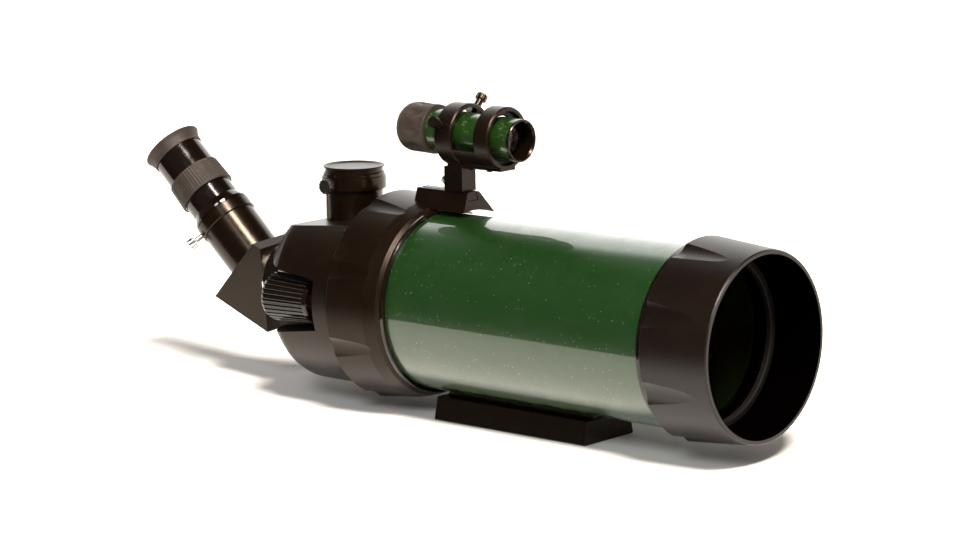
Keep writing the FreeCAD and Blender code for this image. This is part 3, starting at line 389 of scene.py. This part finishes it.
def eyepiece_grip():
    """The rubber zone of the eyepiece: a grid of small square studs on a slight taper."""
    rows, studs_round, columns_each = 9, 60, 5
    start, end, length = 0.8, 15.4, 15.9
    wide_radius, taper, taper_start, taper_length = 17.85, 0.7, 0.5, 14.8
    groove_depth, groove_share, skin = 0.42, 0.2, 0.1
    pitch = (end - start) / rows

    def radius(s):
        return wide_radius - (s - taper_start) * taper / taper_length

    loop = [(0.0, 16.75), (0.0, 17.4), (0.2, 17.75), (0.6, radius(0.6))]
    for row in range(rows):
        base = start + row * pitch
        for part, drop in ((0.0, groove_depth), (0.14, groove_depth), (0.26, 0.0), (0.88, 0.0)):
            s = base + part * pitch
            loop.append((s, radius(s) - drop))
    loop += [(end + 0.1, radius(end)), (length - 0.1, 16.85), (length, 16.5), (length, 16.2)]

    def groove(s, r, angle):
        if not start <= s <= end or r < radius(s) - skin:
            return 0.0
        # a groove's edges fall on columns, so rounding widens some grooves and drops a few
        across = (angle * studs_round / (2 * math.pi)) % 1.0
        return groove_depth if across < groove_share else 0.0

    item = lathe("eyepiece_grip_rubber", loop, eyepiece_frame @ shift(EYEPIECE_GRIP_START, 0, 0),
                 columns=studs_round * columns_each, sunk=groove)
    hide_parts("eyepiece_grip")
    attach(item, "eyepiece")


def finder_grip():
    """The rubber focus grip: a blunt cup with eight oval finger hollows round its front half."""
    radius = 14.6
    corners = [(0.0, 11.3), (0.0, 13.9), (-0.6, 14.55), (-4.5, radius), (-9.5, radius), (-15.0, radius),
               (-18.0, 14.3), (-20.5, 13.3), (-22.3, 11.5), (-22.9, 9.4), (-22.1, 7.2), (-20.9, 6.5),
               (-19.0, 6.5), (-19.0, 9.4), (-1.0, 9.4), (-1.0, 11.3)]
    front_face, inner_walls = 0, range(11, 16)
    inner_radius = 12
    centre, half_length, half_width, depth, count = -9.0, 5.4, 2.9, 1.5, 8

    def hollow(s, r, angle):
        if r < inner_radius:
            return 0.0
        nearest = (angle - math.pi / count) % (2 * math.pi / count) - math.pi / count
        away = ((s - centre) / half_length) ** 2 + (nearest * radius / half_width) ** 2
        return depth * math.exp(-away ** 1.5)

    item = lathe("finder_focus_rubber", smooth_loop(corners, per_span=5, kept=(front_face, *inner_walls)),
                 finder_frame @ shift(FINDER_GRIP_STATION, 0, 0), columns=160, sunk=hollow)
    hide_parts("finder_focus_grip")
    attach(item, "finder_eyepiece")


def support_ring():
    """The plump ring that the finder rocks on, in its front ring."""
    corners = [(-1.5, 13.4), (-1.6, 14.6), (-1.5, 15.6), (-0.7, 15.8), (0.7, 15.8), (1.5, 15.6),
               (1.6, 14.6), (1.5, 13.4), (0.8, 12.9), (0.0, 12.8), (-0.8, 12.9)]
    item = lathe("finder_support_rubber", smooth_loop(corners, per_span=3),
                 bracket_frame @ shift(RING_STATION, 0, 0), columns=72)
    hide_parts("finder_support_ring")
    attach(item, "finder_mount")


eyecup()
eyepiece_grip()
finder_grip()
support_ring()


# stage --------------------------------------------------------------------------------------

FLOOR_EDGE = 9
FLOOR_HEIGHT = -0.0002
FLAG_EDGE = -0.215
FLAG_HEIGHT = 0.0004


def plane(name, y_end, z):
    """A level sheet from the floor's near edge back to y_end."""
    x, y = FLOOR_EDGE, -FLOOR_EDGE
    mesh = bpy.data.meshes.new(name)
    mesh.from_pydata([(-x, y, z), (x, y, z), (x, y_end, z), (-x, y_end, z)], [], [(0, 1, 2, 3)])
    item = bpy.data.objects.new(name, mesh)
    bpy.context.scene.collection.objects.link(item)
    return item


def floor():
    """A bright table. A dark flag hides the part in front of the telescope from reflections."""
    m = Shader("floor_paper")
    m.set(Base_Color=m.mottle(m.noise(3.0), (0.88, 0.88, 0.875), (0.9, 0.9, 0.9)),
          Roughness=0.9, Specular_IOR_Level=0.1)
    wear(plane("floor", FLOOR_EDGE, FLOOR_HEIGHT), m.material)
    flag = plane("dark_flag", FLAG_EDGE, FLAG_HEIGHT)
    wear(flag, flat_black("flag_cloth"))
    flag.visible_camera = False
    flag.visible_diffuse = False
    flag.visible_transmission = False
    flag.visible_shadow = False


def lamp(name, kind, place, aim, energy, colour=(1, 1, 1)):
    data = bpy.data.lights.new(name, kind)
    data.energy, data.color = energy, colour
    item = bpy.data.objects.new(name, data)
    item.location = place
    item.rotation_mode = "QUATERNION"
    item.rotation_quaternion = (Vector(aim) - Vector(place)).to_track_quat("-Z", "Y")
    item.visible_camera = False
    bpy.context.scene.collection.objects.link(item)
    return data


def lights():
    key = lamp("key", "SUN", place=(0.93, -0.6, 1.42), aim=(0, 0, 0), energy=8.5, colour=(1.0, 0.91, 0.80))
    key.angle = math.radians(16)
    fill = lamp("strip", "AREA", place=(0.4, -1.25, 0.95), aim=(-0.2, 0, 0.1), energy=9)
    fill.shape = "RECTANGLE"
    fill.size, fill.size_y = 0.32, 0.5


def camera():
    azimuth, elevation, roll = math.radians(41.27), math.radians(10.2), math.radians(-0.83)
    target = Vector((-0.0320, 0.0, 0.0852))
    distance = 2.003
    data = bpy.data.cameras.new("camera")
    data.sensor_width = 36.0
    data.lens = 127.3
    data.clip_end = 60.0
    item = bpy.data.objects.new("camera", data)
    bpy.context.scene.collection.objects.link(item)
    reach = math.cos(elevation)
    back = Vector((math.sin(azimuth) * reach, -math.cos(azimuth) * reach, math.sin(elevation)))
    item.location = target + back * distance
    item.rotation_mode = "QUATERNION"
    item.rotation_quaternion = (-back).to_track_quat("-Z", "Y") @ Quaternion((0, 0, 1), roll)
    bpy.context.scene.camera = item


def world():
    """White to look at, soft grey as light, and in reflections a dark room with a white backdrop."""
    backdrop_direction = (-0.66, 0.75, 0.0)
    room = 0.03
    scene = bpy.context.scene
    scene.world = bpy.data.worlds.new("studio")
    scene.world.use_nodes = True
    w = Network(scene.world.node_tree)

    def glow(colour, strength):
        return w.add("ShaderNodeBackground", Color=opaque(colour), Strength=strength).outputs[0]

    def mix(share, first, second):
        return w.feed_all(w.add("ShaderNodeMixShader"), share, first, second)

    direction = w.add("ShaderNodeTexCoord").outputs["Generated"]
    height = w.add("ShaderNodeSeparateXYZ", Vector=direction).outputs["Z"]
    facing = w.add("ShaderNodeVectorMath", operation="DOT_PRODUCT")
    w.feed_all(facing, direction, backdrop_direction)
    across = w.ramp(facing.outputs["Value"], low=room, high=1.0, start=0.5, end=0.72, curve="SMOOTHSTEP")
    upward = w.ramp(height, low=1.0, high=room, start=0.66, end=0.78, curve="SMOOTHSTEP")
    backdrop = w.math("MULTIPLY", across, upward)
    seen = glow((1.0, 0.985, 0.95), strength=w.math("MULTIPLY", backdrop, 2.4))
    rays = w.add("ShaderNodeLightPath")
    light = mix(rays.outputs["Is Glossy Ray"], glow((1.0, 0.93, 0.85), strength=0.3), seen)
    result = mix(rays.outputs["Is Camera Ray"], light, glow((1, 1, 1), strength=1.0))
    w.feed(w.tree.nodes["World Output"].inputs["Surface"], result)
    scene.view_settings.view_transform = "Standard"


floor()
world()
camera()
lights()
